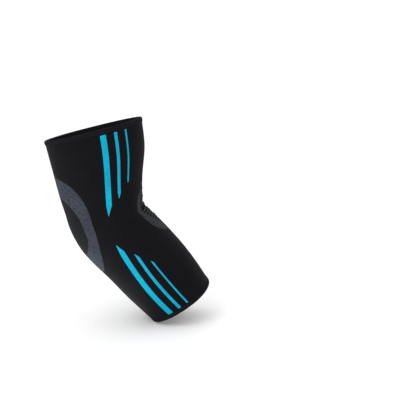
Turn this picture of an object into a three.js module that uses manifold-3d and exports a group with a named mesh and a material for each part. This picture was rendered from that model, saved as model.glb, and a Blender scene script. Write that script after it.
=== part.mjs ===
// A knitted elbow brace in its worn form: an open tube of cloth, bent at the elbow, with a turned hem at each
// mouth, a ring and a cap over the elbow's point, a panel with cross bars in the crease, and tapered stripes
// down both sides. The origin is the elbow's centre, inside the hollow. Millimetres and degrees, +Z up:
// +X is the crease side, -X the elbow's point, -Y and +Y the near and the far side.
import * as THREE from "three";
import { mergeVertices } from "three/addons/utils/BufferGeometryUtils.js";
import Module from "manifold-3d";

// The limb's form. Depths run from the crease to the elbow's point, widths from side to side.
const TOP_DEPTH = 104;
const TOP_WIDTH = 90;
const ELBOW_DEPTH = 82;
const ELBOW_WIDTH = 86;
const END_DEPTH = 76;
const END_WIDTH = 72;
const UPPER_LENGTH = 89; // the run above the bend, along the centre line
const FORE_LENGTH = 111.7; // the run below the bend
const UPPER_LEAN = 8; // of the upper run from upright, towards the elbow's point
const BEND = 33.5; // how far the elbow is bent
const CREASE_RADIUS = 4; // of the fold in the crease
const TOP_TILT = 5.5; // of each mouth, against a square cut
const END_TILT = -7.9;

// The cloth
const WALL = 2.4;
const HEM_HEIGHT = 5;
const HEM_SWELL = 0.4; // how far a hem stands proud of the tube
const INLAY = 0.45 * WALL; // thickness of a coloured zone, which lies in a recess of the wall
const PROUD = 0.1; // how far a coloured zone stands out of its recess
const CLEARANCE = 0.3; // between neighbouring pieces

// Zones on the elbow's point: reaches from the point along the cloth, and the widths of the ring's band
const RING_ABOVE = 72;
const RING_BELOW = 53;
const RING_WIDTH = 1.186 * ELBOW_WIDTH;
const BAND_TOP = 20;
const BAND_SIDE = 12.3;
const BAND_BOTTOM = 29;

// The panel in the crease: reaches from the fold along the cloth, and its cross bars
const PANEL_ABOVE = 20.5;
const PANEL_BELOW = 38;
const PANEL_WIDTH = 0.7 * ELBOW_WIDTH;
const BORDER_TOP = 3; // of the panel, past its first and last bar and beside the longest ones
const BORDER_SIDE = 7.2;
const BORDER_BOTTOM = 9;
const BAR_HEIGHT = 2.4;
const RUNG_HEIGHT = 1.2; // of the panel, between two bars

// The stripes: where their rows stop, at a hem and towards the elbow's centre, and how wide they are
const STRIPE_MARGIN = 0.7; // from the tube's edge at a hem to a stripe's square end
const UPPER_TIP = 13; // from the elbow's centre to the first stripe's tip
const LOWER_TIP = 17;
const WIDE_STRIPE = 6.1; // at the square end; a stripe narrows a little towards its tip
const MIDDLE_STRIPE = 3.4;
const NARROW_STRIPE = 2.0;

// Section shares from the top mouth (-1) over the elbow (0) to the end mouth (1): of half the depth to the
// back and to the front, of half the width, and how much wider than its back a section's front is.
const SECTIONS = [
  { station: -1.0, back: 0.975, front: 1.075, side: 1.0, egg: 0.03 },
  { station: -0.7, back: 0.99, front: 1.095, side: 1.01, egg: 0.04 },
  { station: -0.4, back: 1.01, front: 1.0, side: 1.0, egg: 0.06 },
  { station: -0.15, back: 1.005, front: 0.975, side: 0.99, egg: 0.1 },
  { station: 0.0, back: 1.025, front: 1.0, side: 1.0, egg: 0.12 },
  { station: 0.15, back: 1.055, front: 1.05, side: 1.02, egg: 0.1 },
  { station: 0.4, back: 1.065, front: 1.11, side: 1.05, egg: 0.05 },
  { station: 0.7, back: 1.105, front: 1.09, side: 1.05, egg: 0.03 },
  { station: 1.0, back: 1.095, front: 0.96, side: 1.0, egg: 0.02 },
];
const SQUARENESS = 2.15; // 2 is an ellipse

// Zone outlines: how far above the elbow's point a zone is widest, as a share of its reach above, and the
// powers that blunt its tips and sides.
const RING = { widest: 0.28, above: { tip: 3.0, side: 2.5 }, below: { tip: 2.6, side: 1.8 } };
const CAP = { widest: 0.25, above: { tip: 2.2, side: 1.9 }, below: { tip: 3.0, side: 1.9 } };
const PANEL = { widest: -0.22, above: { tip: 3.0, side: 3.0 }, below: { tip: 2.5, side: 2.5 } };
const BARS = { widest: -0.05, above: { tip: 5.0, side: 3.0 }, below: { tip: 1.8, side: 1.6 } };

// Stripes of one side: the place of the tip as a share of the half's length between the first stripe's tip
// and the square ends, and the angle of the stripe's middle there and at its square end.
const UPPER_STRIPES = [
  { tip: 0.0, width: WIDE_STRIPE, tipAngle: 84.9, endAngle: 79 },
  { tip: 0.2, width: MIDDLE_STRIPE, tipAngle: 67.8, endAngle: 65.1 },
  { tip: 0.36, width: NARROW_STRIPE, tipAngle: 52.6, endAngle: 51.8 },
];
const LOWER_STRIPES = [
  { tip: 0.0, width: WIDE_STRIPE, tipAngle: 93.4, endAngle: 111.4 },
  { tip: 0.2, width: MIDDLE_STRIPE, tipAngle: 86.4, endAngle: 95 },
  { tip: 0.37, width: NARROW_STRIPE, tipAngle: 78.1, endAngle: 82.3 },
];
const NARROWED = 0.92; // a stripe's width at its tip, as a share of its full width
const TIP_CUT = 1.9; // length of a tip's slanted cut, in stripe widths
const TIP_WIDTH = 0.4; // of the tip itself
const UPPER_TIP_PLACE = 0.3; // of the tip, in stripe widths from the edge that faces the elbow's point
const LOWER_TIP_PLACE = 0.15;

// Mesh fineness
const AROUND = 32;
const UPPER_ROWS = 6;
const BEND_ROWS = 6;
const FORE_ROWS = 7;
const HEM_ROWS = 3;
const PHASE_STEP = 10; // degrees of a zone's outline
const ZONE_COLUMNS = 8;
const RING_BANDS = 2;
const BAR_COLUMNS = 5;
const BORDER_COLUMNS = 1;
const STRIPE_ROWS = 6;
const TIP_SHARE = 0.7; // of a band's width past the bars, to the panel's inner columns
const MEASURE_STEP = 0.5; // between the samples of a measured line
const MERGE_WITHIN = 1e-4;

const FRONT = 0; // angles around a section, towards the near side
const BACK = 180;
const FULL_TURN = 360;
const HALF_TURN = 180;
const DEGREE = Math.PI / 180;

// The centre line: a straight run, an arc about the pivot in front of the crease, and a straight run
const BEND_RADIUS = ELBOW_DEPTH / 2 + CREASE_RADIUS;
const HALF_BEND = (BEND_RADIUS * BEND * DEGREE) / 2;
const UPPER_REACH = UPPER_LENGTH + HALF_BEND;
const FORE_REACH = FORE_LENGTH + HALF_BEND;
const ELBOW_HEADING = UPPER_LEAN + BEND / 2; // of the crease side at the elbow, above +X

const reachOf = (station) => (station < 0 ? UPPER_REACH : FORE_REACH);
const mix = (a, b, share) => a + (b - a) * share;
const signedPower = (value, power) => Math.sign(value) * Math.abs(value) ** power;

// A smooth curve through one column of the section table
function sectionShare(column, station) {
  const rows = SECTIONS;
  const last = rows.length - 1;
  const slope = (i) => {
    const before = rows[Math.max(i - 1, 0)];
    const after = rows[Math.min(i + 1, last)];
    return (after[column] - before[column]) / (after.station - before.station);
  };
  const place = Math.min(Math.max(station, -1), 1);
  let i = 0;
  while (i < last - 1 && place > rows[i + 1].station) i += 1;
  const span = rows[i + 1].station - rows[i].station;
  const t = (place - rows[i].station) / span;
  const ease = t * t * (3 - 2 * t);
  const leave = t * (1 - t) ** 2 * span * slope(i);
  const arrive = t * t * (t - 1) * span * slope(i + 1);
  return mix(rows[i][column], rows[i + 1][column], ease) + leave + arrive;
}

// The section at a station: its centre, the heading of its crease side and its half sizes
function sectionAt(station) {
  const upper = station < 0;
  const along = Math.abs(station) * reachOf(station);
  const turn = Math.min(along, HALF_BEND) / BEND_RADIUS / DEGREE;
  const heading = ELBOW_HEADING + (upper ? -turn : turn);
  const run = Math.max(0, along - HALF_BEND) * (upper ? 1 : -1);
  const cos = Math.cos(heading * DEGREE);
  const sin = Math.sin(heading * DEGREE);
  const share = Math.abs(station);
  const depth = mix(ELBOW_DEPTH, upper ? TOP_DEPTH : END_DEPTH, share);
  const width = mix(ELBOW_WIDTH, upper ? TOP_WIDTH : END_WIDTH, share);
  return {
    x: BEND_RADIUS * (Math.cos(ELBOW_HEADING * DEGREE) - cos) - sin * run,
    z: BEND_RADIUS * (Math.sin(ELBOW_HEADING * DEGREE) - sin) + cos * run,
    tilted: heading + (upper ? TOP_TILT : END_TILT) * share ** 2,
    back: (depth / 2) * sectionShare("back", station),
    front: (depth / 2) * sectionShare("front", station),
    side: (width / 2) * sectionShare("side", station),
    egg: sectionShare("egg", station),
  };
}

// A point of the sleeve's outer face, or one that lies raised above it
function pointAt(station, angle, raised = 0) {
  const section = sectionAt(station);
  const cos = Math.cos(angle * DEGREE);
  const sin = Math.sin(angle * DEGREE);
  const depth = (cos > 0 ? section.front : section.back) + raised;
  const forward = depth * signedPower(cos, 2 / SQUARENESS);
  const sideways = (section.side + raised) * signedPower(sin, 2 / SQUARENESS) * (1 + section.egg * cos);
  return new THREE.Vector3(
    section.x + forward * Math.cos(section.tilted * DEGREE),
    -sideways,
    section.z + forward * Math.sin(section.tilted * DEGREE),
  );
}

// The station that lies a length along the cloth from the elbow, down the line at one angle
function stationAlong(angle, length) {
  const way = Math.sign(length);
  let station = 0;
  let point = pointAt(0, angle);
  let left = Math.abs(length);
  while (left > 0 && Math.abs(station) < 1) {
    const ahead = station + (way * MEASURE_STEP) / reachOf(way);
    const next = pointAt(ahead, angle);
    const step = next.distanceTo(point);
    if (step >= left) return mix(station, ahead, left / step);
    left -= step;
    station = ahead;
    point = next;
  }
  return station;
}

// The angle that lies a length around the cloth from another angle, towards the near side when positive
function angleAround(station, from, length) {
  const way = Math.sign(length) * (from === BACK ? -1 : 1);
  let angle = from;
  let point = pointAt(station, from);
  let left = Math.abs(length);
  while (left > 0) {
    const ahead = angle + way;
    const next = pointAt(station, ahead);
    const step = next.distanceTo(point);
    if (step >= left) return mix(angle, ahead, left / step);
    left -= step;
    angle = ahead;
    point = next;
  }
  return angle;
}

const steps = (from, to, count) => Array.from({ length: count + 1 }, (_, i) => mix(from, to, i / count));
const BEND_STATIONS = steps(-HALF_BEND, HALF_BEND, BEND_ROWS).map((length) => length / reachOf(length));

// A closed shell between two layers over rows of places, each a station and an angle. A row carries how high
// its two faces are raised, and a ring's rows close on themselves. Open cells have no cloth, and walls stand
// wherever the cloth ends.
function shell(rows, closed, isOpen = () => false) {
  const columns = rows[0].places.length;
  const positions = [];
  for (const layer of ["high", "low"]) {
    for (const row of rows) {
      for (const [station, angle] of row.places) {
        positions.push(...pointAt(station, angle, row[layer]));
      }
    }
  }
  const vertex = (layer, i, j) => (layer * rows.length + i) * columns + (j % columns);
  const spans = closed ? columns : columns - 1;
  const wrapped = (j) => (closed ? (j + columns) % columns : j);
  const hasCloth = (i, j) => i >= 0 && i < rows.length - 1 && j >= 0 && j < spans && !isOpen(i, j);
  const faces = [];
  const quad = (a, b, c, d) => faces.push(a, b, c, a, c, d);
  const wall = ([i, j], [k, l]) => quad(vertex(0, i, j), vertex(1, i, j), vertex(1, k, l), vertex(0, k, l));
  for (let i = 0; i < rows.length - 1; i += 1) {
    for (let j = 0; j < spans; j += 1) {
      if (!hasCloth(i, j)) continue;
      quad(vertex(0, i, j), vertex(0, i + 1, j), vertex(0, i + 1, j + 1), vertex(0, i, j + 1));
      quad(vertex(1, i, j), vertex(1, i, j + 1), vertex(1, i + 1, j + 1), vertex(1, i + 1, j));
      if (!hasCloth(i - 1, j)) wall([i, j + 1], [i, j]);
      if (!hasCloth(i + 1, j)) wall([i + 1, j], [i + 1, j + 1]);
      if (!hasCloth(i, wrapped(j - 1))) wall([i, j], [i + 1, j]);
      if (!hasCloth(i, wrapped(j + 1))) wall([i + 1, j + 1], [i, j + 1]);
    }
  }
  const geometry = new THREE.BufferGeometry();
  geometry.setAttribute("position", new THREE.Float32BufferAttribute(positions, 3));
  geometry.setIndex(faces);
  return signedVolume(geometry) > 0 ? geometry : turnedOver(geometry);
}

function signedVolume(geometry) {
  const position = geometry.getAttribute("position");
  const index = geometry.getIndex().array;
  const corner = (i) => new THREE.Vector3().fromBufferAttribute(position, index[i]);
  let volume = 0;
  for (let i = 0; i < index.length; i += 3) {
    volume += corner(i).dot(corner(i + 1).cross(corner(i + 2))) / 6;
  }
  return volume;
}

function turnedOver(geometry) {
  geometry.setIndex(Array.from(geometry.getIndex().array).reverse());
  return geometry;
}

// Booleans
const wasm = await Module();
wasm.setup();

function toSolid(geometry) {
  const merged = mergeVertices(geometry, MERGE_WITHIN);
  return new wasm.Manifold(
    new wasm.Mesh({
      numProp: 3,
      vertProperties: new Float32Array(merged.getAttribute("position").array),
      triVerts: new Uint32Array(merged.getIndex().array),
    }),
  );
}

function toGeometry(solid) {
  const mesh = solid.getMesh();
  const geometry = new THREE.BufferGeometry();
  geometry.setAttribute("position", new THREE.Float32BufferAttribute(mesh.vertProperties, 3));
  geometry.setIndex(Array.from(mesh.triVerts));
  return geometry;
}

const cutFrom = (geometry, cutters) =>
  toGeometry(cutters.reduce((solid, cutter) => solid.subtract(toSolid(cutter)), toSolid(geometry)));

// A zone of the cloth is one grid, made twice: as the inlay itself, and grown by the clearance as the cutter
// of its recess, which goes deeper by the clearance and out past the wall's face.
const layered = (grid, high, low) => grid.map((places) => ({ places, high, low }));
const inlaid = (grid, closed = false) => shell(layered(grid, PROUD, -INLAY), closed);
const recess = (grid, closed = false) => shell(layered(grid, WALL / 2, -INLAY - CLEARANCE), closed);

// A zone's outline, in lengths along the cloth (down from the elbow) and around it: phase 90 is its upper
// tip, 0 its widest place on the near side and -90 its lower tip.
function outlineAt(zone, phase) {
  const cos = Math.cos(phase * DEGREE);
  const sin = Math.sin(phase * DEGREE);
  const widest = -zone.shape.widest * zone.above;
  const reach = sin > 0 ? zone.above + widest : zone.below - widest;
  const blunt = sin > 0 ? zone.shape.above : zone.shape.below;
  const share = (1 - Math.abs(sin) ** blunt.tip) ** (1 / blunt.side);
  return { along: widest - reach * sin, around: (zone.width / 2) * share * Math.sign(cos) };
}

const grown = (zone, by) => ({
  ...zone,
  above: zone.above + by,
  below: zone.below + by,
  width: zone.width + 2 * by,
});

// A zone's bands, from its upper tip to its lower one: a station and half the zone's width there. Outlines
// are sampled at the same phases, half a step off the tips, so that neighbouring zones share their corners.
function zoneBands(zone) {
  const tip = (HALF_TURN - PHASE_STEP) / 2;
  return steps(tip, -tip, HALF_TURN / PHASE_STEP - 1).map((phase) => {
    const { along, around } = outlineAt(zone, phase);
    return { station: stationAlong(zone.middle, along), half: around };
  });
}

// More bands wherever the bend's own stations lie between two of them, so that a zone follows the fold
function folded(bands) {
  return bands.flatMap((band, i) => {
    const next = bands[i + 1] ?? band;
    const between = BEND_STATIONS.filter((station) => station > band.station && station < next.station);
    const added = between.map((station) => {
      const share = (station - band.station) / (next.station - band.station);
      const half = mix(band.half, next.half, share);
      const slot = mix(band.slot, next.slot, share);
      return { ...band, station, half, slot };
    });
    return [band, ...added];
  });
}

const placesAt = (station, middle, lengths) =>
  lengths.map((around) => [station, angleAround(station, middle, around)]);
const bandGrid = (middle, bands, columns) =>
  bands.map(({ station, half }) => placesAt(station, middle, steps(-half, half, columns)));
const capGrid = (zone) => bandGrid(BACK, zoneBands(zone), ZONE_COLUMNS);

// The ring's grid, in loops from its hole's outline out to its own
function ringGrid(ring, hole) {
  const first = PHASE_STEP / 2;
  return steps(0, 1, RING_BANDS).map((share) =>
    steps(first, first + FULL_TURN, FULL_TURN / PHASE_STEP)
      .slice(0, -1)
      .map((phase) => {
        const inner = outlineAt(hole, phase);
        const outer = outlineAt(ring, phase);
        const station = stationAlong(BACK, mix(inner.along, outer.along, share));
        return [station, angleAround(station, BACK, mix(inner.around, outer.around, share))];
      }),
  );
}

const RING_ZONE = { shape: RING, middle: BACK, above: RING_ABOVE, below: RING_BELOW, width: RING_WIDTH };
const CAP_ZONE = {
  shape: CAP,
  middle: BACK,
  above: RING_ABOVE - BAND_TOP,
  below: RING_BELOW - BAND_BOTTOM,
  width: RING_WIDTH - 2 * BAND_SIDE,
};
const PANEL_ZONE = {
  shape: PANEL,
  middle: FRONT,
  above: PANEL_ABOVE,
  below: PANEL_BELOW,
  width: PANEL_WIDTH,
};
const BARS_ZONE = {
  shape: BARS,
  middle: FRONT,
  above: PANEL_ABOVE - BORDER_TOP,
  below: PANEL_BELOW - BORDER_BOTTOM,
  width: PANEL_WIDTH - 2 * BORDER_SIDE,
};

// Half the width of banded cloth at a station between its first and last band
function halfWidthAt(bands, station) {
  const next = bands.findIndex((band) => band.station > station);
  const [above, below] = bands.slice(next - 1, next + 1);
  return mix(above.half, below.half, (station - above.station) / (below.station - above.station));
}

// The cross bars fill their zone from its top, one pitch apart, each as long as the zone is wide there
function barPlaces() {
  const pitch = BAR_HEIGHT + RUNG_HEIGHT;
  const count = Math.round((BARS_ZONE.above + BARS_ZONE.below) / pitch);
  const bands = zoneBands(BARS_ZONE);
  return Array.from({ length: count }, (_, i) => {
    const top = i * pitch - BARS_ZONE.above;
    const half = halfWidthAt(bands, stationAlong(FRONT, top + BAR_HEIGHT / 2));
    return { top, bottom: top + BAR_HEIGHT, half };
  });
}

function barGrid(bar) {
  const stations = [bar.top, bar.bottom].map((along) => stationAlong(FRONT, along));
  const edges = stations.map((station) => ({ station, half: bar.half }));
  return bandGrid(FRONT, folded(edges), BAR_COLUMNS);
}

// The panel's bands: those of its tips, and two for each bar, a clearance above and below it. A band's slot
// is half the width of the hole that the bar lies in, and also places the inner columns of the tips.
// The panel and its recess keep the same bands, so that their facets stay parallel.
function panelBands(zone, bars) {
  const outline = zoneBands(zone);
  const ungrown = zoneBands(PANEL_ZONE);
  const edgeOf = (bar, edge, along) => {
    const station = stationAlong(FRONT, along);
    return { station, half: halfWidthAt(outline, station), slot: bar.half + CLEARANCE, edge };
  };
  const edges = bars.flatMap((bar) => [
    edgeOf(bar, "top", bar.top - CLEARANCE),
    edgeOf(bar, "bottom", bar.bottom + CLEARANCE),
  ]);
  const first = stationAlong(FRONT, bars[0].top - RUNG_HEIGHT);
  const last = stationAlong(FRONT, bars.at(-1).bottom + RUNG_HEIGHT);
  const tips = outline.map((band) => ({ ...band, slot: band.half * TIP_SHARE, edge: "none" }));
  return folded([
    ...tips.filter((_, i) => ungrown[i].station < first),
    ...edges,
    ...tips.filter((_, i) => ungrown[i].station > last),
  ]);
}

const panelGrid = (bands) =>
  bands.map(({ station, half, slot }) =>
    placesAt(station, FRONT, [
      ...steps(-half, -slot, BORDER_COLUMNS).slice(0, -1),
      ...steps(-slot, slot, BAR_COLUMNS).slice(0, -1),
      ...steps(slot, half, BORDER_COLUMNS),
    ]),
  );

// The panel's cells are open between the top and the bottom edge of a slot
function creasePanel(bands) {
  const inSlot = (i, j) => bands[i].edge === "top" && j >= BORDER_COLUMNS && j < BORDER_COLUMNS + BAR_COLUMNS;
  return shell(layered(panelGrid(bands), PROUD, -INLAY), false, inSlot);
}

// A stripe's grid, from its tip to its square end. Slanted cuts lead from the tip to both edges, and the tip
// lies near the edge that faces the elbow's point. side is 1 for the near and -1 for the far side.
function stripeGrid(stripe, half, side, by) {
  const reach = half.reach - HEM_HEIGHT - CLEARANCE - STRIPE_MARGIN;
  const start = mix(half.tip, reach, stripe.tip);
  const cutEnd = start + TIP_CUT * stripe.width - by;
  const places = [start - by, ...steps(cutEnd, reach + by, STRIPE_ROWS - 1)];
  return places.map((along, i) => {
    const station = (half.way * along) / half.reach;
    const share = (along - start) / (reach - start);
    const middle = mix(stripe.endAngle, stripe.tipAngle, (1 - share) ** 2);
    const perDegree = pointAt(station, middle).distanceTo(pointAt(station, middle + 1));
    const width = stripe.width * mix(NARROWED, 1, share);
    const tipOff = (0.5 - half.tipPlace) * width;
    const back = (i === 0 ? tipOff + TIP_WIDTH / 2 : width / 2) + by;
    const front = (i === 0 ? TIP_WIDTH / 2 - tipOff : width / 2) + by;
    return [middle - front / perDegree, middle + back / perDegree].map((angle) => [station, side * angle]);
  });
}

const UPPER_HALF = { way: -1, reach: UPPER_REACH, tip: UPPER_TIP, tipPlace: UPPER_TIP_PLACE };
const LOWER_HALF = { way: 1, reach: FORE_REACH, tip: LOWER_TIP, tipPlace: LOWER_TIP_PLACE };

function stripesOf(sideName, side) {
  const listed = [
    ["upper", UPPER_STRIPES, UPPER_HALF],
    ["lower", LOWER_STRIPES, LOWER_HALF],
  ];
  return listed.flatMap(([halfName, stripes, half]) =>
    stripes.map((stripe, i) => ({
      name: `${sideName}_${halfName}_stripe_${i + 1}`,
      grid: stripeGrid(stripe, half, side, 0),
      grownGrid: stripeGrid(stripe, half, side, CLEARANCE),
    })),
  );
}

const tubeRow = (station, high, low) => ({
  places: steps(0, FULL_TURN, AROUND).slice(0, -1).map((angle) => [station, angle]),
  high,
  low,
});

// The tube's stations: even steps in each run, and the bend's own between them
const bodyStations = (top, end) => [
  ...steps(top, BEND_STATIONS[0], UPPER_ROWS).slice(0, -1),
  ...BEND_STATIONS.slice(0, -1),
  ...steps(BEND_STATIONS.at(-1), end, FORE_ROWS),
];

function hem(way) {
  const inner = 1 - HEM_HEIGHT / reachOf(way);
  return shell(
    steps(inner, 1, HEM_ROWS).map((place, i) => {
      const rim = i === 0 || i === HEM_ROWS;
      return tubeRow(way * place, rim ? 0 : HEM_SWELL, -WALL);
    }),
    true,
  );
}

function sleeveBody(recesses) {
  const top = -1 + (HEM_HEIGHT + CLEARANCE) / UPPER_REACH;
  const end = 1 - (HEM_HEIGHT + CLEARANCE) / FORE_REACH;
  const rows = bodyStations(top, end).map((station) => tubeRow(station, 0, -WALL));
  return cutFrom(shell(rows, true), recesses);
}

// Materials
const knit = (color) => new THREE.MeshStandardMaterial({ color, roughness: 0.9, metalness: 0 });
const BLACK_KNIT = knit(0x19191e);
const HEM_KNIT = knit(0x1d1d22);
const RING_KNIT = knit(0x4b4d58);
const CAP_KNIT = knit(0x262928);
const PANEL_KNIT = knit(0x434446);
const BAR_KNIT = knit(0x1b1b1d);
const STRIPE_KNIT = knit(0x0db4d7);

const group = new THREE.Group();

function add(name, geometry, material) {
  const mesh = new THREE.Mesh(geometry, material);
  mesh.name = name;
  group.add(mesh);
}

const stripes = [...stripesOf("near", 1), ...stripesOf("far", -1)];
const bars = barPlaces();

add(
  "sleeve_body",
  sleeveBody([
    recess(ringGrid(grown(RING_ZONE, CLEARANCE), CAP_ZONE), true),
    recess(capGrid(grown(CAP_ZONE, CLEARANCE))),
    recess(panelGrid(panelBands(grown(PANEL_ZONE, CLEARANCE), bars))),
    ...stripes.map((stripe) => recess(stripe.grownGrid)),
  ]),
  BLACK_KNIT,
);
add("upper_hem", hem(-1), HEM_KNIT);
add("lower_hem", hem(1), HEM_KNIT);
add("elbow_ring", inlaid(ringGrid(RING_ZONE, grown(CAP_ZONE, CLEARANCE)), true), RING_KNIT);
add("elbow_cap", inlaid(capGrid(CAP_ZONE)), CAP_KNIT);
add("crease_panel", creasePanel(panelBands(PANEL_ZONE, bars)), PANEL_KNIT);
bars.forEach((bar, i) => {
  add(`crease_bar_${String(i + 1).padStart(2, "0")}`, inlaid(barGrid(bar)), BAR_KNIT);
});
for (const stripe of stripes) add(stripe.name, inlaid(stripe.grid), STRIPE_KNIT);

export default group;
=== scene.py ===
"""The looks of a knitted elbow brace in its worn form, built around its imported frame.

One grid of stitches covers the whole tube, and each coloured zone is a set of its cells. The cross bars'
edges step from stitch to stitch, and the other zones' edges are moved onto smooth outlines. Lengths are in
millimetres until a mesh is made, and angles are in degrees.
"""
import math

import bpy
import numpy as np
from mathutils import Euler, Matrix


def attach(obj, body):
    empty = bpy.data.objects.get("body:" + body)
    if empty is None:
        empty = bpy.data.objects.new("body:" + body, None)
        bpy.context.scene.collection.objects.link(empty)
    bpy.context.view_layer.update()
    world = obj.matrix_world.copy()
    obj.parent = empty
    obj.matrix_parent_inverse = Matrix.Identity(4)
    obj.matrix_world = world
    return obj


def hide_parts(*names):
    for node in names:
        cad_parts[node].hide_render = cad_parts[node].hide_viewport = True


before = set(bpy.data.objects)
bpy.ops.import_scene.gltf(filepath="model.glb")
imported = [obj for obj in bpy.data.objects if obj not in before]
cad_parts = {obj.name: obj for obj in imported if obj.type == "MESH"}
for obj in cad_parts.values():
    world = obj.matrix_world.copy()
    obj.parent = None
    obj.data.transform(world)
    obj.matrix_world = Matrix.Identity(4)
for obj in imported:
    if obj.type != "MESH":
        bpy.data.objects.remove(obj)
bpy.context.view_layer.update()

MM = 0.001  # metres
DEGREE = math.pi / 180

# The limb's form. Depths run from the elbow's point to the crease, and widths from side to side.
TOP_DEPTH = 104.0
TOP_WIDTH = 90.0
ELBOW_DEPTH = 82.0
ELBOW_WIDTH = 86.0
END_DEPTH = 76.0
END_WIDTH = 72.0
UPPER_LENGTH = 89.0
FORE_LENGTH = 111.7
UPPER_LEAN = 8.0
BEND = 33.5
CREASE_RADIUS = 4.0
TOP_TILT = 5.5  # how far each mouth turns from square to the limb
END_TILT = -7.9
SQUARENESS = 2.15  # 2 would make each section an ellipse

# Shares of the depths and widths at stations from the upper mouth at -1, past the elbow at 0, to the
# forearm mouth at 1. The egg says how much wider a section is towards the crease than towards the point.
SECTIONS = {
    "station": (-1.0, -0.7, -0.4, -0.15, 0.0, 0.15, 0.4, 0.7, 1.0),
    "back": (0.975, 0.99, 1.01, 1.005, 1.025, 1.055, 1.065, 1.105, 1.095),
    "front": (1.075, 1.095, 1.0, 0.975, 1.0, 1.05, 1.11, 1.09, 0.96),
    "side": (1.0, 1.01, 1.0, 0.99, 1.0, 1.02, 1.05, 1.05, 1.0),
    "egg": (0.03, 0.04, 0.06, 0.1, 0.12, 0.1, 0.05, 0.03, 0.02),
}

# The cloth and its stitches
WALL = 2.4
WALES = 416  # stitches round the tube
COURSE = 0.6  # height of a row of stitches
BODY_STEP = 2  # stitches each way in a cell of the sleeve's own mesh, which has no outlines to follow
EDGE_REACH = 0.6  # how far a zone's edge may move from its stitches, in stitches

# The hems. The start holds distances from the inner edge and heights over the cloth's outer face.
HEM_HEIGHT = 5.0
HEM_SWELL = 0.4
HEM_START = ((0.0, -0.35), (0.25, 0.1), (0.8, 0.3), (1.6, HEM_SWELL))
HEM_TURN_STEP = 20
HEM_SPLIT = 2  # mesh columns in a wale
HEM_RIB = 0.09
HEM_RIB_WALES = 2

# The folds that bunch in the crease, and the slow waves that the cloth has everywhere
FOLD_HEIGHT = 0.30
FOLD_SPACING = 9.3
FOLD_SLANT = 0.05  # radians for each millimetre round the tube
FOLD_START = 0.6  # radians
FOLD_REACH_ALONG = 26.0
FOLD_REACH_AROUND = 42.0
WAVE_SEED = 7
WAVE_COUNT = 14
WAVE_HEIGHT = 0.045
MOST_WAVES_AROUND = 6
WAVES_ALONG = (0.5, 5.0)

# The zones' heights over the cloth's outer face
RECESS = 1.1
SEAT_GAP = 0.04
ZONE_LOW = SEAT_GAP - RECESS
ZONE_LIFT = 0.10
BAR_LEVEL = -0.15
BAR_LIFT = 0.12
BAR_ROUNDNESS = 0.6
BAR_SPLIT = (2, 1)  # mesh rows and columns in a stitch
RUNG_LIFT = 0.5
RUNG_BASE = 0.4  # share of its height that a rung has at its edges
RUNG_FADE = 3.0  # how steeply the rungs' ends rise out of the panel's border

# The zones on the elbow's point and in the crease: how far each reaches above and below the elbow's line,
# its width, where it is widest as a share of its reach above, and the exponents of each half's tip and side
RING = dict(above=72.0, below=53.0, width=102.0, widest=0.28, up=(3.0, 2.5), down=(2.6, 1.8))
CAP = dict(above=52.0, below=24.0, width=77.4, widest=0.25, up=(2.2, 1.9), down=(3.0, 1.9))
PANEL = dict(above=20.5, below=38.0, width=60.2, widest=-0.22, up=(3.0, 3.0), down=(2.5, 2.5))
BARS = dict(above=17.5, below=29.0, width=45.8, widest=-0.05, up=(5.0, 3.0), down=(1.8, 1.6))
BAR_COUNT = 13
BAR_COURSES = 4
RUNG_COURSES = 2
PERIOD = BAR_COURSES + RUNG_COURSES

# The stripes. Each row says how far its tip lies from the wide stripe's tip towards the stripes' ends, as a
# share, how wide the stripe is, and at which angles its middle lies at the tip and at the end.
STRIPE_MARGIN = 1.0  # cloth between the stripes' ends and the hem
UPPER_TIP = 13.0  # from the elbow's line to the wide stripe's tip
LOWER_TIP = 17.0
UPPER_STRIPES = ((0.0, 6.1, 84.9, 79.0), (0.2, 3.4, 67.8, 65.1), (0.36, 2.0, 52.6, 51.8))
LOWER_STRIPES = ((0.0, 6.1, 93.4, 111.4), (0.2, 3.4, 86.4, 95.0), (0.37, 2.0, 78.1, 82.3))
NARROWED = 0.92  # share of its width that a stripe has near its tip
TIP_CUT = 1.9  # length of the tip's cut, in widths of the stripe
UPPER_TIP_PLACE = 0.3  # where the tip lies across the stripe, from its back edge at 0 to its front at 1
LOWER_TIP_PLACE = 0.15

BEND_RADIUS = ELBOW_DEPTH / 2 + CREASE_RADIUS
HALF_BEND = BEND_RADIUS * BEND * DEGREE / 2
UPPER_REACH = UPPER_LENGTH + HALF_BEND
FORE_REACH = FORE_LENGTH + HALF_BEND
ELBOW_HEADING = UPPER_LEAN + BEND / 2
TOP_EDGE = -1 + HEM_HEIGHT / UPPER_REACH  # the stations at which the hems begin
END_EDGE = 1 - HEM_HEIGHT / FORE_REACH

# The tables over stations and angles that everything is laid out from, and the limits of the meshes' making
STATION_COUNT = 1201
ANGLE_STEP = 0.5
STATIONS = np.linspace(-1, 1, STATION_COUNT)
ANGLES = np.arange(0.0, 360 + ANGLE_STEP, ANGLE_STEP)
CORNER_ROUNDS = 4  # rounds in which cells that touch only at a corner are joined
LEAST_STEEPNESS = 1e-9  # stands in where a field is level, so that nothing is divided by zero
SHARP_ANGLE = 50.0

# The cloth's looks
CLOTH_ROUGHNESS = 0.8
CLOTH_SPECULAR = 0.06
SHEEN_ROUGHNESS = 0.45
SHEEN_GREY = 0.25  # the sheen's tint is this grey and a part of the cloth's own colour
SHEEN_COLOR = 2.2
BUMP_STRENGTH = 0.8
FIBRE_BUMP = 0.25  # height of the fibres' bump, as a share of the loops'
FIBRE_SCALE = 2600.0  # for each metre, as the patches' scale is
FIBRE_CONTRAST = 0.3
PATCH_SCALE = 45.0
PATCH_CONTRAST = 0.35
STREAK_WALES = 8.0  # length of the short streaks in the cloth's colour
STREAK_COURSES = 1.3

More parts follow.
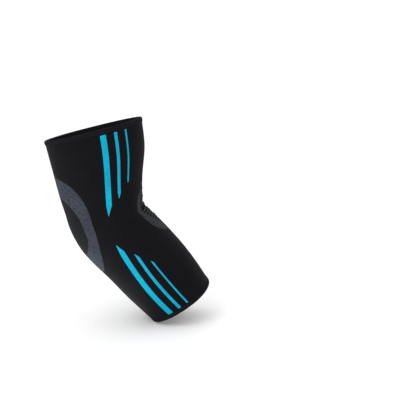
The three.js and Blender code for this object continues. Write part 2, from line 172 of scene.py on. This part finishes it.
# The loops' form. A rise is the share of the loops' height that a shape across them makes, and a roundness
# is the exponent of an arch, which is fuller the smaller the exponent is.
LEG_SLANT = 0.55  # how far a loop's legs lean, in courses
LEG_RISE = 0.75
LEG_ROUNDNESS = 0.6
RIDGE_ROUNDNESS = 0.7
BACK_WAVE = 0.16  # how far the rows on the inside wave, in courses
BACK_RISE = 0.35
RIB_ROWS = 1.5  # rows of the hems' rib in a course
RIB_RISE = 0.45

# The floor, in metres
FLOOR_HALF = 4.0
FLOOR_GAP = 0.0002
FLOOR_GREY = 0.95
FLOOR_ROUGHNESS = 0.9

# The lights and the camera. Places, sizes and the distance are in metres, the sensor and the lens in
# millimetres, and the power in watts.
WORLD_STRENGTH = 1.12
LIGHTS = {
    "key": dict(place=(-0.7, -0.9, 1.1), turn=(45, 0, -38), size=(0.8, 0.8), power=6),
    "fill": dict(place=(-0.85, -0.6, 0.05), turn=(88, 0, -55), size=(0.7, 0.3), power=1.0),
    "under": dict(place=(-0.09, -0.06, -0.115), turn=(180, 0, 0), size=(0.24, 0.24), power=0.3),
}
CAMERA_DISTANCE = 0.7
CAMERA_ELEVATION = 12.0
CAMERA_YAW = 9.367
CAMERA_PITCH = -11.177
SENSOR = 36.0
FOCAL = 53.57


# The form

def shares(column, station):
    """A smooth curve through one column of the section table."""
    at = np.array(SECTIONS["station"])
    value = np.array(SECTIONS[column])
    slope = np.empty_like(value)
    slope[1:-1] = (value[2:] - value[:-2]) / (at[2:] - at[:-2])
    slope[0] = (value[1] - value[0]) / (at[1] - at[0])
    slope[-1] = (value[-1] - value[-2]) / (at[-1] - at[-2])
    place = np.clip(station, -1, 1)
    i = np.clip(np.searchsorted(at, place, side="right") - 1, 0, len(at) - 2)
    span = at[i + 1] - at[i]
    t = (place - at[i]) / span
    ease = t * t * (3 - 2 * t)
    leave = t * (1 - t) ** 2 * span * slope[i]
    arrive = t * t * (t - 1) * span * slope[i + 1]
    return value[i] + (value[i + 1] - value[i]) * ease + leave + arrive


def signed_power(value, power):
    return np.sign(value) * np.abs(value) ** power


def points_at(station, angle):
    """Points of the outer face; station and angle are arrays of one shape."""
    upper = station < 0
    share = np.abs(station)
    length = share * np.where(upper, UPPER_REACH, FORE_REACH)
    turn = np.minimum(length, HALF_BEND) / BEND_RADIUS / DEGREE
    heading = ELBOW_HEADING + np.where(upper, -turn, turn)
    run = np.maximum(0, length - HALF_BEND) * np.where(upper, 1, -1)
    cos_h = np.cos(heading * DEGREE)
    sin_h = np.sin(heading * DEGREE)
    depth = ELBOW_DEPTH + (np.where(upper, TOP_DEPTH, END_DEPTH) - ELBOW_DEPTH) * share
    width = ELBOW_WIDTH + (np.where(upper, TOP_WIDTH, END_WIDTH) - ELBOW_WIDTH) * share
    x = BEND_RADIUS * (math.cos(ELBOW_HEADING * DEGREE) - cos_h) - sin_h * run
    z = BEND_RADIUS * (math.sin(ELBOW_HEADING * DEGREE) - sin_h) + cos_h * run
    tilted = (heading + np.where(upper, TOP_TILT, END_TILT) * share**2) * DEGREE
    cos_a = np.cos(angle * DEGREE)
    sin_a = np.sin(angle * DEGREE)
    reach = depth / 2 * np.where(cos_a > 0, shares("front", station), shares("back", station))
    forward = reach * signed_power(cos_a, 2 / SQUARENESS)
    side = width / 2 * shares("side", station)
    sideways = side * signed_power(sin_a, 2 / SQUARENESS) * (1 + shares("egg", station) * cos_a)
    return np.stack([x + forward * np.cos(tilted), -sideways, z + forward * np.sin(tilted)], axis=-1)


def normals_of(grid):
    """Outward unit normals of a grid of points whose columns close on themselves."""
    down = np.gradient(grid, axis=0)
    across = (np.roll(grid, -1, axis=1) - np.roll(grid, 1, axis=1)) / 2
    normal = np.cross(across, down)
    return normal / np.linalg.norm(normal, axis=2, keepdims=True)


def wale_lengths(grid):
    """Lengths along each wale from the elbow's line, negative above it."""
    step = np.linalg.norm(np.diff(grid, axis=0), axis=2)
    total = np.concatenate([np.zeros((1, grid.shape[1])), np.cumsum(step, axis=0)])
    return total - total[STATION_COUNT // 2]


# The wales start in the crease and are evenly spaced round each station
around_table = points_at(*np.meshgrid(STATIONS, ANGLES, indexing="ij"))
chords = np.linalg.norm(np.diff(around_table, axis=1), axis=2)
lengths = np.concatenate([np.zeros((STATION_COUNT, 1)), np.cumsum(chords, axis=1)], axis=1)
girth = lengths[:, -1]
turn_share = lengths / girth[:, None]
wale_share = np.arange(WALES) / WALES
wale_angle = np.array([np.interp(wale_share, row, ANGLES) for row in turn_share])
face = points_at(np.repeat(STATIONS[:, None], WALES, axis=1), wale_angle)
outward = normals_of(face)
along = wale_lengths(face)
crease_along = along[:, 0]
point_along = along[:, WALES // 2]

# The cloth's folds and waves
rng = np.random.default_rng(WAVE_SEED)
signed_share = (wale_share + 0.5) % 1 - 0.5
from_crease = signed_share[None, :] * girth[:, None]
bunch = np.exp(-((along / FOLD_REACH_ALONG) ** 2)) * np.exp(-((from_crease / FOLD_REACH_AROUND) ** 2))
fold_turn = 2 * math.pi * along / FOLD_SPACING + FOLD_SLANT * from_crease + FOLD_START
folds = FOLD_HEIGHT * bunch * np.cos(fold_turn)
waves = np.zeros_like(along)
for _ in range(WAVE_COUNT):
    waves_around = rng.integers(1, MOST_WAVES_AROUND + 1)
    waves_along = rng.uniform(*WAVES_ALONG)
    phase = rng.uniform(0, 2 * math.pi)
    turns = waves_around * wale_share[None, :] + waves_along * STATIONS[:, None] / 2
    waves += np.cos(2 * math.pi * turns + phase)
face = face + outward * (folds + WAVE_HEIGHT * waves)[:, :, None]
outward = normals_of(face)
along = wale_lengths(face)


# The grid of stitches: rows are courses, evenly spaced along each wale above and below the elbow's line

def courses_to(edge):
    """Courses between the elbow's line and a hem in the crease, as a multiple of BODY_STEP."""
    length = abs(np.interp(edge, STATIONS, crease_along))
    return BODY_STEP * int(round(length / COURSE / BODY_STEP))


upper_courses = courses_to(TOP_EDGE)
lower_courses = courses_to(END_EDGE)
COURSES = upper_courses + lower_courses
row_station = np.empty((COURSES + 1, WALES))
for wale in range(WALES):
    top_length = np.interp(TOP_EDGE, STATIONS, along[:, wale])
    end_length = np.interp(END_EDGE, STATIONS, along[:, wale])
    wanted = np.concatenate([
        np.linspace(top_length, 0, upper_courses + 1)[:-1],
        np.linspace(0, end_length, lower_courses + 1),
    ])
    row_station[:, wale] = np.interp(wanted, along[:, wale], STATIONS)


def sample(table, row, column):
    """Values of a table at fractional rows and columns; its columns close on themselves."""
    low = np.clip(np.floor(row).astype(int), 0, table.shape[0] - 2)
    left = np.floor(column).astype(int)
    down = row - low
    right = column - left
    if table.ndim == 3:
        down = down[..., None]
        right = right[..., None]
    count = table.shape[1]
    near = table[low, left % count] * (1 - right) + table[low, (left + 1) % count] * right
    far = table[low + 1, left % count] * (1 - right) + table[low + 1, (left + 1) % count] * right
    return near * (1 - down) + far * down


def surface(station, wale, raised):
    """Points raised above the cloth's outer face, in metres."""
    row = (station + 1) / 2 * (STATION_COUNT - 1)
    normal = sample(outward, row, wale)
    normal = normal / np.linalg.norm(normal, axis=-1, keepdims=True)
    return (sample(face, row, wale) + normal * raised[..., None]) * MM


# The zones: each is where a field over the grid is below zero, worked out at its cells and at its corners

class Places:
    """What the zones' fields need to know at some rows and wales of the grid."""

    def __init__(self, row, wale):
        self.station = sample(row_station, row, wale)
        self.table_row = (self.station + 1) / 2 * (STATION_COUNT - 1)
        self.girth = np.interp(self.station, STATIONS, girth)
        self.share = (wale / WALES + 0.5) % 1 - 0.5
        self.point_down = np.interp(self.station, STATIONS, point_along)
        self.point_around = (0.5 - np.abs(self.share)) * self.girth
        self.crease_down = np.interp(self.station, STATIONS, crease_along)
        self.crease_around = self.share * self.girth


def zone_field(zone, down, around):
    """Below zero inside an oval zone, which has one curve above its widest line and another below it."""
    widest = -zone["widest"] * zone["above"]
    upper = down < widest
    reach = np.where(upper, zone["above"] + widest, zone["below"] - widest)
    tip = np.where(upper, zone["up"][0], zone["down"][0])
    side = np.where(upper, zone["up"][1], zone["down"][1])
    return (np.abs(down - widest) / reach) ** tip + (np.abs(around) * 2 / zone["width"]) ** side - 1


def stripe_field(stripe, way, side, at):
    """Below zero inside a stripe. way is -1 above the elbow and 1 below it, and side is 1 on the near side
    and -1 on the far one."""
    tip_share, full_width, tip_angle, end_angle = stripe
    reach = UPPER_REACH if way < 0 else FORE_REACH
    first = UPPER_TIP if way < 0 else LOWER_TIP
    tip_place = UPPER_TIP_PLACE if way < 0 else LOWER_TIP_PLACE
    end = reach - HEM_HEIGHT - STRIPE_MARGIN
    start = first + (end - first) * tip_share
    length = at.station * way * reach
    share = np.clip((length - start) / (end - start), 0, 1)
    angle = end_angle + (tip_angle - end_angle) * (1 - share) ** 2
    middle = sample(turn_share, at.table_row, angle / ANGLE_STEP)
    off = (at.share * side - middle) * at.girth
    width = full_width * (NARROWED + (1 - NARROWED) * share)
    tip_off = (0.5 - tip_place) * width
    cut = np.minimum((length - start) / (TIP_CUT * full_width), 1)
    back = tip_off + (width / 2 - tip_off) * cut
    front = tip_off - (width / 2 + tip_off) * cut
    return np.maximum.reduce([off - back, front - off, start - length, length - end])


def tidied(mask):
    """The mask with its cells that touch only at a corner joined by one more cell."""
    for _ in range(CORNER_ROUNDS):
        a, b = mask[:-1], mask[1:]
        a_next, b_next = np.roll(a, -1, axis=1), np.roll(b, -1, axis=1)
        falling = a & b_next & ~b & ~a_next
        rising = b & a_next & ~a & ~b_next
        mask = mask.copy()
        mask[1:] |= falling
        mask[:-1] |= rising
    return mask


def corners_of(mask):
    """The corners that the mask's cells have, on a grid with one row more than the mask."""
    rows, columns = mask.shape
    found = np.zeros((rows + 1, columns), bool)
    for down in (0, 1):
        for right in (0, 1):
            found[down:rows + down] |= np.roll(mask, right, axis=1)
    return found


cell_row, cell_wale = np.meshgrid(np.arange(COURSES) + 0.5, np.arange(WALES) + 0.5, indexing="ij")
corner_row, corner_wale = np.meshgrid(np.arange(COURSES + 1.0), np.arange(0.0, WALES), indexing="ij")
cells = Places(cell_row, cell_wale)
corners = Places(corner_row, corner_wale)
taken = np.zeros(cell_row.shape, bool)
zones = {}
row_shift = np.zeros(corner_row.shape)
wale_shift = np.zeros(corner_row.shape)
settled = np.zeros(corner_row.shape, bool)


def claim(name, mask, corner_field=None):
    """Give a zone its free cells. With a field, the corners on its edge move onto the field's zero line."""
    mask = tidied(mask & ~taken) & ~taken
    zones[name] = mask
    edge = corners_of(mask) & corners_of(~mask)
    if corner_field is not None:
        movable = edge & ~settled
        per_row = np.gradient(corner_field, axis=0)
        per_wale = (np.roll(corner_field, -1, axis=1) - np.roll(corner_field, 1, axis=1)) / 2
        wale_width = corners.girth / WALES
        steep = (per_row / COURSE) ** 2 + (per_wale / wale_width) ** 2
        step = -corner_field / np.maximum(steep, LEAST_STEEPNESS)
        row_shift[movable] = np.clip(step * per_row / COURSE**2, -EDGE_REACH, EDGE_REACH)[movable]
        wale_shift[movable] = np.clip(step * per_wale / wale_width**2, -EDGE_REACH, EDGE_REACH)[movable]
    settled[edge] = True
    taken[mask] = True


def claim_round_point(name, zone):
    fields = [zone_field(zone, at.point_down, at.point_around) for at in (cells, corners)]
    claim(name, fields[0] < 0, fields[1])


def claim_in_crease(name, zone):
    fields = [zone_field(zone, at.crease_down, at.crease_around) for at in (cells, corners)]
    claim(name, fields[0] < 0, fields[1])


claim_round_point("elbow_cap", CAP)
claim_round_point("elbow_ring", RING)
first_bar = upper_courses - int(round(BARS["above"] / COURSE))
for n in range(BAR_COUNT):
    top = first_bar + n * PERIOD
    middle = (top + BAR_COURSES / 2 - upper_courses) * COURSE
    rows = (cell_row > top) & (cell_row < top + BAR_COURSES)
    inside = zone_field(BARS, np.full(cell_row.shape, middle), cells.crease_around) < 0
    claim(f"crease_bar_{n + 1:02d}", rows & inside)
claim_in_crease("crease_panel", PANEL)
for side_name, side in (("near", 1), ("far", -1)):
    for half_name, way, stripes in (("upper", -1, UPPER_STRIPES), ("lower", 1, LOWER_STRIPES)):
        for n, stripe in enumerate(stripes):
            fields = [stripe_field(stripe, way, side, at) for at in (cells, corners)]
            claim(f"{side_name}_{half_name}_stripe_{n + 1}", fields[0] < 0, fields[1])


# Meshes

def new_object(name, vertices, faces, uvs, material_indices, materials):
    mesh = bpy.data.meshes.new(name)
    mesh.from_pydata(vertices.tolist(), [], faces.tolist())
    layer = mesh.uv_layers.new(name="stitches")
    layer.data.foreach_set("uv", uvs.astype(np.float32).ravel())
    for material in materials:
        mesh.materials.append(material)
    mesh.polygons.foreach_set("material_index", material_indices.astype(np.int32))
    mesh.shade_smooth()
    mesh.set_sharp_from_angle(angle=SHARP_ANGLE * DEGREE)
    mesh.validate()
    piece = bpy.data.objects.new(name, mesh)
    bpy.context.scene.collection.objects.link(piece)
    return piece


def cloth_piece(name, levels, low, materials, split=(1, 1), relief=None):
    """A closed shell over the cells whose level isn't NaN, from each cell's level down to low.

    levels holds one height for each cell over the whole grid, which may be coarser than the stitches. split
    cuts each cell into rows and columns. relief takes the rows and wales of the corners and adds to the
    heights of the outer face. The last material is that of the inner face.
    """
    fine = np.repeat(np.repeat(levels, split[0], axis=0), split[1], axis=1)
    rows, columns = fine.shape
    if (rows, columns) == (COURSES, WALES):
        at_row, at_wale = corner_row + row_shift, corner_wale + wale_shift
    else:
        at_row, at_wale = np.meshgrid(
            np.arange(rows + 1) * COURSES / rows, np.arange(columns) * WALES / columns, indexing="ij"
        )
    station = sample(row_station, at_row, at_wale)
    extra = relief(at_row, at_wale) if relief else np.zeros(at_row.shape)

    # Each height is a layer of points, and so is the bottom
    cloth = ~np.isnan(fine)
    heights = sorted(set(fine[cloth].tolist()), reverse=True)
    bottom = len(heights)
    number = np.full((bottom + 1, rows + 1, columns), -1)
    points = []
    next_number = 0
    for n, height in enumerate([*heights, low]):
        used = corners_of(cloth if n == bottom else fine == height)
        count = int(used.sum())
        number[n][used] = next_number + np.arange(count)
        next_number += count
        raised = np.full(count, height)
        if n != bottom:
            raised += extra[used]
        points.append(surface(station[used], at_wale[used], raised))

    faces = []
    uvs = []
    sides = []

    def add(quads, material):
        """quads: the layers, rows and columns of their four corners, anticlockwise as seen from outside."""
        numbers = [number[layer, row, column % columns] for layer, row, column in quads]
        faces.append(np.stack(numbers, axis=1))
        places = [
            np.stack([
                (at_wale[row, column % columns] + WALES * (column // columns)) / WALES,
                1 - at_row[row, column % columns] / COURSES,
            ], axis=1)
            for _, row, column in quads
        ]
        uvs.append(np.stack(places, axis=1).reshape(-1, 2))
        sides.append(np.full(len(faces[-1]), material))

    layer_of = np.full(fine.shape, bottom)
    for n, height in enumerate(heights):
        layer_of[fine == height] = n
    r, c = np.nonzero(cloth)
    top = layer_of[r, c]
    deep = np.full(len(r), bottom)
    add([(top, r, c), (top, r, c + 1), (top, r + 1, c + 1), (top, r + 1, c)], 0)
    add([(deep, r, c), (deep, r + 1, c), (deep, r + 1, c + 1), (deep, r, c + 1)], len(materials) - 1)

    def walls(there, start, end):
        """Walls on one side of the cells, from their own layer down to that of their neighbours there."""
        stands = there > top
        a_row, a_column = r[stands] + start[0], c[stands] + start[1]
        b_row, b_column = r[stands] + end[0], c[stands] + end[1]
        add([
            (top[stands], a_row, a_column),
            (there[stands], a_row, a_column),
            (there[stands], b_row, b_column),
            (top[stands], b_row, b_column),
        ], 0)

    padded = np.pad(layer_of, ((1, 1), (0, 0)), constant_values=bottom)
    walls(padded[r, c], (0, 0), (0, 1))
    walls(padded[r + 2, c], (1, 1), (1, 0))
    walls(layer_of[r, (c - 1) % columns], (1, 0), (0, 0))
    walls(layer_of[r, (c + 1) % columns], (0, 1), (1, 1))
    return new_object(
        name,
        np.concatenate(points),
        np.concatenate(faces),
        np.concatenate(uvs),
        np.concatenate(sides),
        materials,
    )


def hem_piece(name, way, materials):
    """A turned hem: a rounded welt with a fine rib, closed round the mouth."""
    reach = UPPER_REACH if way < 0 else FORE_REACH
    half = (WALL + HEM_SWELL) / 2
    middle = HEM_SWELL - half
    profile = [(HEM_HEIGHT - distance, height) for distance, height in HEM_START]
    for degrees in range(90, -91, -HEM_TURN_STEP):
        turn = degrees * DEGREE
        profile.append((half - half * math.cos(turn), middle + half * math.sin(turn)))
    profile += [(HEM_HEIGHT - HEM_START[-1][0], -WALL), (HEM_HEIGHT, -WALL)]
    columns = WALES * HEM_SPLIT
    count = len(profile)
    wale = np.arange(columns) / HEM_SPLIT
    rib = HEM_RIB * np.cos(2 * math.pi * wale / HEM_RIB_WALES)
    points = []
    for inward, raised in profile:
        station = np.full(columns, way * (1 - inward / reach))
        points.append(surface(station, wale, raised + rib * (1 if raised > middle else 0)))
    k, c = np.meshgrid(np.arange(count), np.arange(columns), indexing="ij")
    k, c = k.ravel(), c.ravel()
    corner_k = np.stack([k, k + 1, k + 1, k], axis=1)
    corner_c = np.stack([c, c, c + 1, c + 1], axis=1)
    if way > 0:
        corner_k, corner_c = corner_k[:, ::-1], corner_c[:, ::-1]
    quads = corner_k % count * columns + corner_c % columns
    spans = [math.dist(profile[n], profile[(n + 1) % count]) for n in range(count)]
    lengths_round = np.array([0.0] + spans).cumsum() / (COURSE * COURSES)
    uvs = np.stack([corner_c / columns, -lengths_round[corner_k]], axis=-1).reshape(-1, 2)
    return new_object(name, np.concatenate(points), quads, uvs, np.zeros(len(quads)), materials)


# Materials

class Graph:
    """A few short ways to write shader nodes."""

    def __init__(self, name):
        self.material = bpy.data.materials.new(name)
        self.material.use_nodes = True
        self.nodes = self.material.node_tree.nodes
        self.links = self.material.node_tree.links
        self.shader = self.nodes["Principled BSDF"]

    def put(self, socket, value):
        if isinstance(value, bpy.types.NodeSocket):
            self.links.new(value, socket)
        else:
            socket.default_value = value

    def math(self, operation, *values):
        node = self.nodes.new("ShaderNodeMath")
        node.operation = operation
        for socket, value in zip(node.inputs, values):
            self.put(socket, value)
        return node.outputs[0]

    def arch(self, share):
        """A sine that rises from 0 and falls back to 0 while the share goes from 0 to 1."""
        return self.math("SINE", self.math("MULTIPLY", share, math.pi))

    def varied(self, value, pattern, contrast):
        """The value, moved up and down by a pattern of values from 0 to 1."""
        return self.math("MULTIPLY_ADD", self.math("SUBTRACT", pattern, 0.5), contrast, value)

    def mix(self, factor, a, b, blend="MIX"):
        """Two colours mixed. They are the node's inputs 6 and 7, and the result is its output 2."""
        node = self.nodes.new("ShaderNodeMix")
        node.data_type = "RGBA"
        node.blend_type = blend
        self.put(node.inputs[0], factor)
        self.put(node.inputs[6], a)
        self.put(node.inputs[7], b)
        return node.outputs[2]

    def join(self, x, y):
        node = self.nodes.new("ShaderNodeCombineXYZ")
        self.put(node.inputs[0], x)
        self.put(node.inputs[1], y)
        return node.outputs[0]

    def noise(self, vector, scale, detail=2.0):
        node = self.nodes.new("ShaderNodeTexNoise")
        self.put(node.inputs["Vector"], vector)
        node.inputs["Scale"].default_value = scale
        node.inputs["Detail"].default_value = detail
        return node.outputs["Fac"]

    def random(self, vector):
        node = self.nodes.new("ShaderNodeTexWhiteNoise")
        node.noise_dimensions = "2D"
        self.links.new(vector, node.inputs["Vector"])
        return node.outputs["Value"]

    def stitches(self):
        """Wale and course numbers, counted across the cloth's grid, and the place on the object."""
        coordinates = self.nodes.new("ShaderNodeTexCoord")
        split = self.nodes.new("ShaderNodeSeparateXYZ")
        self.links.new(coordinates.outputs["UV"], split.inputs[0])
        wale = self.math("MULTIPLY", split.outputs[0], float(WALES))
        course = self.math("MULTIPLY", split.outputs[1], float(COURSES))
        return wale, course, coordinates.outputs["Object"]


def face_loops(g, wale, course):
    """Height and row number on the outer face, where each loop shows its two slanting legs."""
    across = g.math("FRACT", wale)
    from_middle = g.math("ABSOLUTE", g.math("SUBTRACT", g.math("MULTIPLY", across, 2.0), 1.0))
    slant = g.math("MULTIPLY_ADD", from_middle, -LEG_SLANT, course)
    ridge = g.math("POWER", g.arch(g.math("FRACT", slant)), RIDGE_ROUNDNESS)
    leg = g.math("POWER", g.arch(from_middle), LEG_ROUNDNESS)
    leg = g.math("MULTIPLY_ADD", leg, LEG_RISE, 1 - LEG_RISE)
    return g.math("MULTIPLY", ridge, leg), g.math("FLOOR", slant)


def back_loops(g, wale, course):
    """Height and row number on the inside, where the loops show as wavy rows."""
    wave = g.math("SINE", g.math("MULTIPLY", wale, 2 * math.pi))
    bent = g.math("MULTIPLY_ADD", wave, BACK_WAVE, course)
    ridge = g.arch(g.math("FRACT", bent))
    swell = g.math("MULTIPLY_ADD", g.math("ABSOLUTE", wave), BACK_RISE, 1 - BACK_RISE)
    return g.math("MULTIPLY", ridge, swell), g.math("FLOOR", bent)


def rib_loops(g, wale, course):
    """Height and row number on a hem, where each wale is a fine rib."""
    rib = g.arch(g.math("FRACT", wale))
    ridge = g.arch(g.math("FRACT", g.math("MULTIPLY", course, RIB_ROWS)))
    swell = g.math("MULTIPLY_ADD", ridge, RIB_RISE, 1 - RIB_RISE)
    return g.math("MULTIPLY", rib, swell), g.math("FLOOR", course)


def knit(name, color, furrow_shade, loops=face_loops, heather=0.3, fleck=0.1, sheen=0.025, depth=0.12, rung_light_and_shade=0.0):
    """Knitted cloth. furrow_shade is painted shade: a darker colour mixed in where the loops sink into the
    furrows between them. depth is the loops' height.
    heather says how strong the short streaks along the courses are, fleck how much single stitches differ,
    and rung_light_and_shade how much the crease panel's colour is lightened on its rungs' courses and
    darkened on those between them, as a painted highlight on the raised rungs and painted shade in the
    furrows."""
    g = Graph(name)
    wale, course, place = g.stitches()
    height, row = loops(g, wale, course)
    streak_wale = g.math("MULTIPLY", wale, 1 / STREAK_WALES)
    streak_course = g.math("MULTIPLY", course, 1 / STREAK_COURSES)
    streaks = g.noise(g.join(streak_wale, streak_course), scale=1.0, detail=1.0)
    stitch = g.random(g.join(g.math("FLOOR", wale), row))
    fibre = g.noise(place, FIBRE_SCALE, detail=1.0)
    value = g.varied(1.0, streaks, 2 * heather)
    value = g.varied(value, stitch, 2 * fleck)
    value = g.varied(value, g.noise(place, PATCH_SCALE), PATCH_CONTRAST)
    value = g.varied(value, fibre, FIBRE_CONTRAST)
    # Painted highlight and painted shade: the panel is made lighter on the rungs' courses and darker on the
    # courses between them.
    if rung_light_and_shade:
        first_rung = COURSES - first_bar + RUNG_COURSES / 2
        turns = g.math("MULTIPLY", g.math("SUBTRACT", first_rung, course), 2 * math.pi / PERIOD)
        value = g.math("MULTIPLY_ADD", g.math("COSINE", turns), rung_light_and_shade, value)
    # Painted shade: the colour is mixed toward a darker colour where the loops' height sinks into the
    # furrows.
    base = g.mix(height, (*furrow_shade, 1), (*color, 1))
    tone = g.nodes.new("ShaderNodeCombineColor")
    for socket in tone.inputs:
        g.links.new(value, socket)
    g.links.new(g.mix(1.0, base, tone.outputs[0], "MULTIPLY"), g.shader.inputs["Base Color"])
    bump = g.nodes.new("ShaderNodeBump")
    bump.inputs["Strength"].default_value = BUMP_STRENGTH
    bump.inputs["Distance"].default_value = depth * MM
    g.links.new(g.math("MULTIPLY_ADD", fibre, FIBRE_BUMP, height), bump.inputs["Height"])
    g.links.new(bump.outputs[0], g.shader.inputs["Normal"])
    g.shader.inputs["Roughness"].default_value = CLOTH_ROUGHNESS
    g.shader.inputs["Specular IOR Level"].default_value = CLOTH_SPECULAR
    g.shader.inputs["Sheen Weight"].default_value = sheen
    g.shader.inputs["Sheen Roughness"].default_value = SHEEN_ROUGHNESS
    tint = [min(1.0, SHEEN_GREY + SHEEN_COLOR * c) for c in color]
    g.shader.inputs["Sheen Tint"].default_value = (*tint, 1)
    return g.material


def linear(red, green, blue):
    """A screen colour of 0 to 255 as the shader's colour, by the sRGB curve."""
    def one(value):
        value /= 255
        return value / 12.92 if value <= 0.04045 else ((value + 0.055) / 1.055) ** 2.4
    return (one(red), one(green), one(blue))


# The second colour of each cloth is painted shade for the furrows between its loops.
BLACK = knit("black_knit", linear(17, 17, 22), linear(7, 7, 9))
REVERSE = knit("black_knit_inside", linear(27, 27, 31), linear(11, 11, 13), back_loops)
HEM = knit("hem_knit", linear(24, 24, 28), linear(9, 9, 11), rib_loops)
RING_KNIT = knit("ring_knit", linear(60, 63, 72), linear(31, 33, 39), heather=0.95, fleck=0.2)
CAP_KNIT = knit("cap_knit", linear(23, 26, 28), linear(10, 11, 12), heather=0.4, depth=0.1)
# The panel's rungs get a painted highlight, with painted shade on the courses between them.
PANEL_KNIT = knit("panel_knit", linear(57, 59, 62), linear(25, 26, 28), heather=0.7, fleck=0.15, rung_light_and_shade=0.27)
BAR_KNIT = knit("bar_knit", linear(13, 13, 14), linear(5, 5, 5), sheen=0.0, depth=0.15)
STRIPE_KNIT = knit("stripe_knit", linear(12, 170, 202), linear(7, 119, 148), heather=0.25)


# Pieces

def dress(piece):
    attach(piece, "root")
    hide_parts(piece.name.replace("knit_", "", 1))
    return piece


def bar_relief(row, wale):
    """Each bar is a flat, slightly rounded ridge across its courses."""
    share = ((row - first_bar) % PERIOD) / BAR_COURSES
    return BAR_LIFT * np.sin(np.clip(share, 0, 1) * math.pi) ** BAR_ROUNDNESS


def rung_relief(row, wale):
    """The panel's rungs stand up between the bars and sink into the border at their ends."""
    phase = (row - first_bar + RUNG_COURSES) % PERIOD
    ridge = RUNG_BASE + (1 - RUNG_BASE) * np.sin(math.pi * np.clip(phase / RUNG_COURSES, 0, 1))
    at = Places(row, wale)
    inside = np.clip(-RUNG_FADE * zone_field(BARS, at.crease_down, at.crease_around), 0, 1)
    between = (row >= first_bar) & (row <= first_bar + BAR_COUNT * PERIOD - RUNG_COURSES)
    return RUNG_LIFT * ridge * inside * between * (phase <= RUNG_COURSES)


def zone_piece(zone_name, mask):
    """One zone's piece of cloth, raised a little over the cloth beside it, or sunk for the cross bars."""
    height, split, relief = ZONE_LIFT, (1, 1), None
    if zone_name.startswith("crease_bar"):
        look, slot = BAR_KNIT, "bar_knit"
        height, split, relief = BAR_LEVEL, BAR_SPLIT, bar_relief
    elif zone_name == "crease_panel":
        look, slot = PANEL_KNIT, "panel_knit"
        relief = rung_relief
    elif zone_name == "elbow_ring":
        look, slot = RING_KNIT, "ring_knit"
    elif zone_name == "elbow_cap":
        look, slot = CAP_KNIT, "cap_knit"
    else:
        look, slot = STRIPE_KNIT, "stripe_knit"
    levels = np.where(mask, height, np.nan)
    return dress(cloth_piece(f"knit_{zone_name}", levels, ZONE_LOW, [look], split, relief))


def sleeve_piece():
    """The black tube, with recesses in those of its coarse cells that the zones cover wholly."""
    free = corners_of(~taken)
    inner = ~(free[:-1] | free[1:])
    inner &= np.roll(inner, -1, axis=1)
    blocks = inner.reshape(COURSES // BODY_STEP, BODY_STEP, WALES // BODY_STEP, BODY_STEP)
    levels = np.where(blocks.all(axis=(1, 3)), -RECESS, 0.0)
    return dress(cloth_piece("knit_sleeve_body", levels, -WALL, [BLACK, REVERSE]))


sleeve = sleeve_piece()
upper_hem = dress(hem_piece("knit_upper_hem", -1, [HEM]))
lower_hem = dress(hem_piece("knit_lower_hem", 1, [HEM]))
others = [upper_hem, lower_hem] + [zone_piece(zone_name, mask) for zone_name, mask in zones.items()]


# The floor

lowest = min(vertex.co.z for vertex in lower_hem.data.vertices)
floor_corners = [(x * FLOOR_HALF, y * FLOOR_HALF, 0) for x, y in ((-1, -1), (1, -1), (1, 1), (-1, 1))]
floor_mesh = bpy.data.meshes.new("floor")
floor_mesh.from_pydata(floor_corners, [], [(0, 1, 2, 3)])
floor = bpy.data.objects.new("floor", floor_mesh)
floor.location = (0, 0, lowest - FLOOR_GAP)
bpy.context.scene.collection.objects.link(floor)
floor_look = Graph("floor")
floor_look.shader.inputs["Base Color"].default_value = (FLOOR_GREY, FLOOR_GREY, FLOOR_GREY, 1)
floor_look.shader.inputs["Roughness"].default_value = FLOOR_ROUGHNESS
floor_mesh.materials.append(floor_look.material)


# The light

def area_light(name, place, turn, size, power):
    lamp = bpy.data.lights.new(name, "AREA")
    lamp.shape = "RECTANGLE"
    lamp.size, lamp.size_y = size
    lamp.energy = power
    holder = bpy.data.objects.new(name, lamp)
    holder.location = place
    holder.rotation_euler = Euler([a * DEGREE for a in turn])
    holder.visible_camera = False
    bpy.context.scene.collection.objects.link(holder)


world = bpy.data.worlds.new("studio")
world.use_nodes = True
background = world.node_tree.nodes["Background"]
background.inputs["Color"].default_value = (1, 1, 1, 1)
background.inputs["Strength"].default_value = WORLD_STRENGTH
bpy.context.scene.world = world
for light_name, light in LIGHTS.items():
    area_light(light_name, **light)


# The camera

camera = bpy.data.cameras.new("camera")
camera.sensor_width = SENSOR
camera.lens = FOCAL
viewer = bpy.data.objects.new("camera", camera)
viewer.location = (
    0,
    -CAMERA_DISTANCE * math.cos(CAMERA_ELEVATION * DEGREE),
    CAMERA_DISTANCE * math.sin(CAMERA_ELEVATION * DEGREE),
)
viewer.rotation_euler = Euler(((90 + CAMERA_PITCH) * DEGREE, 0, -CAMERA_YAW * DEGREE))
bpy.context.scene.collection.objects.link(viewer)
bpy.context.scene.camera = viewer
bpy.context.scene.view_settings.view_transform = "Standard"
